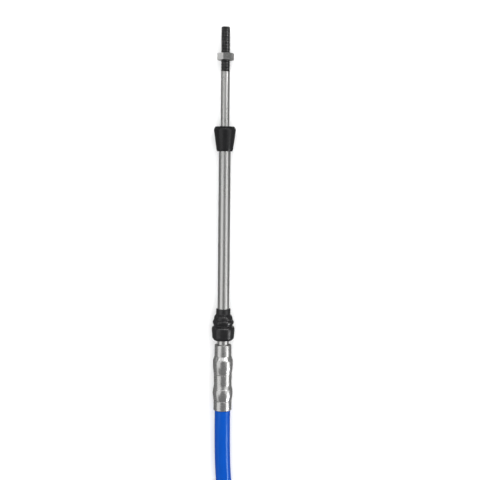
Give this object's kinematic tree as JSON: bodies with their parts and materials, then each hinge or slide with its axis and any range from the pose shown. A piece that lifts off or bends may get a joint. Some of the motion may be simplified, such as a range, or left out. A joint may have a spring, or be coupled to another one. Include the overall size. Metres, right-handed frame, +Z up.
{
  "type": "boat control cable",
  "caption": "Push-pull control cable with the same end fitting twice: threaded rod and jam nut, rubber wiper, support tube, rubber boot and grooved swivel hub on a jacketed conduit.",
  "frame": {"origin": "on the floor, midway between the two end fittings along X and Y, the conduit left out", "axes": "+Y along both rods, towards their threaded tips; +X from the first fitting to the second; +Z up from the floor"},
  "size_m": [0.1686, 0.3413, 0.0127],
  "materials": {
    "satin_steel": "satin drawn stainless steel",
    "bright_steel": "polished turned stainless steel",
    "thread_steel": "rolled thread and nut, satin",
    "black_rubber": "moulded, slight sheen",
    "blue_jacket": "extruded polyethylene jacket, half gloss"
  },
  "bodies": {
    "sheath": {"swivel_hub_a": "bright_steel", "swivel_hub_b": "bright_steel", "conduit": "blue_jacket"},
    "tube_a": {"support_tube_a": "satin_steel", "wiper_seal_a": "black_rubber", "swivel_boot_a": "black_rubber"},
    "rod_a": {"threaded_rod_a": "satin_steel"},
    "nut_a": {"jam_nut_a": "thread_steel"},
    "tube_b": {"support_tube_b": "satin_steel", "wiper_seal_b": "black_rubber", "swivel_boot_b": "black_rubber"},
    "rod_b": {"threaded_rod_b": "satin_steel"},
    "nut_b": {"jam_nut_b": "thread_steel"}
  },
  "joints": [
    {"name": "swivel_a", "type": "hinge", "parent": "sheath", "child": "tube_a", "pos_m": [-0.078, -0.05775, 0.00635], "axis": [0, 0, 1], "range_deg": [-8, 8]},
    {"name": "rod_slide_a", "type": "slide", "parent": "tube_a", "child": "rod_a", "axis": [0, 1, 0], "range_m": [-0.022, 0.0542]},
    {"name": "nut_spin_a", "type": "hinge", "parent": "rod_a", "child": "nut_a", "pos_m": [-0.078, 0.10615, 0.00635], "axis": [0, 1, 0], "continuous": true},
    {"name": "swivel_b", "type": "hinge", "parent": "sheath", "child": "tube_b", "pos_m": [0.078, -0.08995, 0.00635], "axis": [0, 0, 1], "range_deg": [-8, 8]},
    {"name": "rod_slide_b", "type": "slide", "parent": "tube_b", "child": "rod_b", "axis": [0, 1, 0], "range_m": [-0.0542, 0.022]},
    {"name": "nut_spin_b", "type": "hinge", "parent": "rod_b", "child": "nut_b", "pos_m": [0.078, 0.10615, 0.00635], "axis": [0, 1, 0], "continuous": true}
  ],
  "couplings": [
    {"joint": "rod_slide_b", "follows": "rod_slide_a", "ratio": -1}
  ]
}
